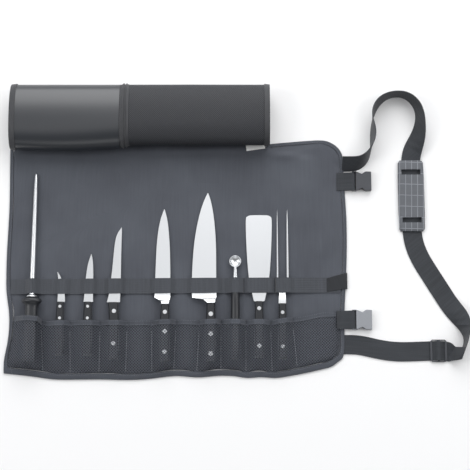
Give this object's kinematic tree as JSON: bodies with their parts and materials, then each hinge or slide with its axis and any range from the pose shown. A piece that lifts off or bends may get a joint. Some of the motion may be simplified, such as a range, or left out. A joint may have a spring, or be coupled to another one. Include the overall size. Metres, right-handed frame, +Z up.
{
  "type": "chef knife roll",
  "caption": "Open cloth knife roll with net pockets under a wide elastic, chef's tools in place, a rolled flap, buckle loops and a loose shoulder strap with pad.",
  "frame": {"origin": "underside of the base panel, at its middle; the panel lies on the plane Z = 0", "axes": "+X along the panel's width, towards the buckle loops and the shoulder strap; +Y across the panel, towards the rolled flap; +Z up, out of the face that holds the tools"},
  "size_m": [0.9147, 0.5865, 0.0646],
  "materials": {
    "steel": "satin, brushed along the blade",
    "grip": "moulded black plastic",
    "hard_plastic": "moulded black plastic",
    "webbing": "woven tape, ribbed",
    "rubber": "moulded grid, matt",
    "coated_cloth": "woven cloth, backed",
    "smooth_cloth": "smooth coated cloth, slight shine",
    "tape": "woven binding tape",
    "net": "fine net",
    "elastic": "woven elastic",
    "white_tape": "blank satin label"
  },
  "bodies": {
    "root": {"baller_handle": "grip", "baller_scoop": "steel", "base_panel": "coated_cloth", "boning_knife_blade": "steel", "boning_knife_scale_bottom": "grip", "boning_knife_scale_top": "grip", "buckle_socket_lower": "hard_plastic", "buckle_socket_upper": "hard_plastic", "buckle_webbing_lower": "webbing", "buckle_webbing_upper": "webbing", "care_label": "white_tape", "carving_fork_blade": "steel", "carving_fork_scale_bottom": "grip", "carving_fork_scale_top": "grip", "chefs_knife_blade": "steel", "chefs_knife_scale_bottom": "grip", "chefs_knife_scale_top": "grip", "elastic_band": "elastic", "elastic_end_tab": "smooth_cloth", "flap_binding_left": "tape", "flap_binding_right": "tape", "flap_mesh_panel": "net", "flap_seam": "tape", "flap_sheet": "smooth_cloth", "panel_binding": "tape", "paring_knife_blade": "steel", "paring_knife_scale_bottom": "grip", "paring_knife_scale_top": "grip", "pocket_01": "net", "pocket_02": "net", "pocket_03": "net", "pocket_04": "net", "pocket_05": "net", "pocket_06": "net", "pocket_07": "net", "pocket_08": "net", "pocket_09": "net", "pocket_10": "net", "pocket_11": "net", "pocket_12": "net", "pocket_hem": "tape", "shoulder_pad": "rubber", "shoulder_strap": "webbing", "slicing_knife_blade": "steel", "slicing_knife_scale_bottom": "grip", "slicing_knife_scale_top": "grip", "spatula_blade": "steel", "spatula_scale_bottom": "grip", "spatula_scale_top": "grip", "steel_handle": "grip", "steel_rod": "steel", "strap_slider": "hard_plastic", "turning_knife_blade": "steel", "turning_knife_scale_bottom": "grip", "turning_knife_scale_top": "grip"}
  },
  "joints": []
}
